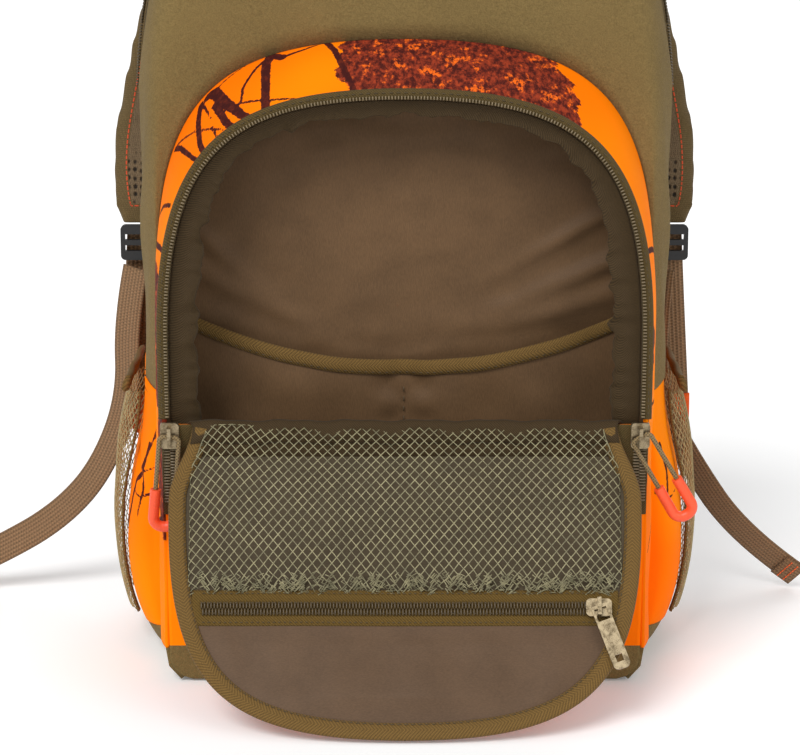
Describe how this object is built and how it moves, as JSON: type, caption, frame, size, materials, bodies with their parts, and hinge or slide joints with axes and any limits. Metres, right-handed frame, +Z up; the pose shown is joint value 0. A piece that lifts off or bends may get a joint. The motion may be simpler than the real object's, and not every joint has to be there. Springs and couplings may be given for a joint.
{
  "type": "hunting backpack",
  "caption": "Soft day pack in olive fleece and blaze-orange camouflage, its arched front pocket unzipped and the flap folded down over the base.",
  "frame": {"origin": "on the ground under the middle of the base, level with the back of the main zip's row", "axes": "+Z up, -Y out of the front pocket, +X to the right as seen from the front"},
  "size_m": [0.5506, 0.334, 0.4955],
  "materials": {
    "fleece": "brushed fleece, olive",
    "blaze_camo": "smooth polyester, blaze orange with dark printed branches",
    "lining": "satin polyester lining, taupe brown",
    "back_fabric": "plain woven polyester",
    "spacer_mesh": "three-dimensional spacer mesh over foam",
    "strap_fabric": "plain woven polyester over foam",
    "binding_tape": "herringbone twill tape",
    "zip_coil": "moulded nylon coil",
    "antique_brass": "satin antique plating",
    "open_mesh": "open knitted mesh",
    "pull_cord": "braided cord",
    "orange_rubber": "satin moulded tube",
    "webbing": "ribbed webbing",
    "orange_fabric": "smooth polyester",
    "black_plastic": "moulded, fine grain"
  },
  "bodies": {
    "pack": {"base_panel": "fleece", "upper_side_left": "fleece", "upper_side_right": "fleece", "top_panel": "fleece", "front_surround": "fleece", "lower_side_left": "blaze_camo", "lower_side_right": "blaze_camo", "gusset_left": "blaze_camo", "gusset_right": "blaze_camo", "gusset_top": "blaze_camo", "lower_front_panel": "blaze_camo", "divider_panel": "lining", "organizer_pocket": "lining", "back_panel": "back_fabric", "back_pad_left": "spacer_mesh", "back_pad_right": "spacer_mesh", "lumbar_pad": "spacer_mesh", "shoulder_strap_left": "strap_fabric", "shoulder_strap_right": "strap_fabric", "organizer_binding": "binding_tape", "zip_facing": "binding_tape", "side_pocket_hem_left": "binding_tape", "side_pocket_hem_right": "binding_tape", "main_zip_coil": "zip_coil", "front_zip_coil": "zip_coil", "front_zip_chain_left": "zip_coil", "front_zip_chain_right": "zip_coil", "side_pocket_left": "open_mesh", "side_pocket_right": "open_mesh", "adjuster_web_left": "webbing", "adjuster_web_right": "webbing", "adjuster_tail_left": "webbing", "adjuster_tail_right": "webbing", "haul_loop": "webbing", "anchor_wing_left": "orange_fabric", "anchor_wing_right": "orange_fabric", "ladder_lock_left": "black_plastic", "ladder_lock_right": "black_plastic"},
    "lid": {"lid_panel": "fleece", "lid_zip_coil": "zip_coil"},
    "flap": {"flap_panel": "blaze_camo", "flap_binding": "binding_tape", "flap_edge_coil": "zip_coil", "flap_mesh": "open_mesh", "flap_zip_tape": "binding_tape", "flap_zip_coil": "zip_coil"},
    "flap_slider": {"flap_zip_slider": "antique_brass"},
    "flap_pull": {"flap_zip_pull": "antique_brass"},
    "front_slider_l": {"front_slider_left": "antique_brass"},
    "front_slider_r": {"front_slider_right": "antique_brass"},
    "front_pull_l": {"front_pull_cord_left": "pull_cord", "front_pull_tube_left": "orange_rubber"},
    "front_pull_r": {"front_pull_cord_right": "pull_cord", "front_pull_tube_right": "orange_rubber"},
    "main_slider_l": {"main_slider_left": "antique_brass"},
    "main_slider_r": {"main_slider_right": "antique_brass"},
    "main_pull_l": {"main_pull_cord_left": "pull_cord", "main_pull_tube_left": "orange_rubber"},
    "main_pull_r": {"main_pull_cord_right": "pull_cord", "main_pull_tube_right": "orange_rubber"}
  },
  "joints": [
    {"name": "lid_fold", "type": "hinge", "parent": "pack", "child": "lid", "pos_m": [0, -0.045, 0.3664], "axis": [1, 0, 0], "range_deg": [0, 85]},
    {"name": "flap_fold", "type": "hinge", "parent": "pack", "child": "flap", "pos_m": [0, -0.104, 0.155], "axis": [-1, 0, 0], "range_deg": [0, 153.88]},
    {"name": "flap_zip_run", "type": "slide", "parent": "flap", "child": "flap_slider", "axis": [-1, 0, 0], "range_m": [0, 0.208]},
    {"name": "flap_pull_turn", "type": "hinge", "parent": "flap_slider", "child": "flap_pull", "pos_m": [0.105, -0.1556, 0.0647], "axis": [-0.9397, -0.171, -0.2962], "range_deg": [0, 120.03]},
    {"name": "front_zip_run_l", "type": "slide", "parent": "pack", "child": "front_slider_l", "axis": [0, 0.1154, -0.9933], "range_m": [0, 0.03]},
    {"name": "front_pull_turn_l", "type": "hinge", "parent": "front_slider_l", "child": "front_pull_l", "pos_m": [-0.13, -0.10931, 0.14784], "axis": [0, -0.9933, -0.1154], "range_deg": [-29, 11]},
    {"name": "front_zip_run_r", "type": "slide", "parent": "pack", "child": "front_slider_r", "axis": [0, 0.1154, -0.9933], "range_m": [0, 0.03]},
    {"name": "front_pull_turn_r", "type": "hinge", "parent": "front_slider_r", "child": "front_pull_r", "pos_m": [0.13, -0.10931, 0.14784], "axis": [0, -0.9933, -0.1154], "range_deg": [-36, 4]},
    {"name": "main_zip_run_l", "type": "slide", "parent": "pack", "child": "main_slider_l", "axis": [-1, 0, 0], "range_m": [0, 0.024]},
    {"name": "main_pull_turn_l", "type": "hinge", "parent": "main_slider_l", "child": "main_pull_l", "pos_m": [-0.014, -0.0082, 0.4837], "axis": [0, 1, 0], "range_deg": [0, 80]},
    {"name": "main_zip_run_r", "type": "slide", "parent": "pack", "child": "main_slider_r", "axis": [1, 0, 0], "range_m": [0, 0.024]},
    {"name": "main_pull_turn_r", "type": "hinge", "parent": "main_slider_r", "child": "main_pull_r", "pos_m": [0.014, -0.0082, 0.4837], "axis": [0, -1, 0], "range_deg": [0, 80]}
  ],
  "couplings": [
    {"joint": "flap_pull_turn", "follows": "flap_fold", "ratio": 0.78}
  ]
}
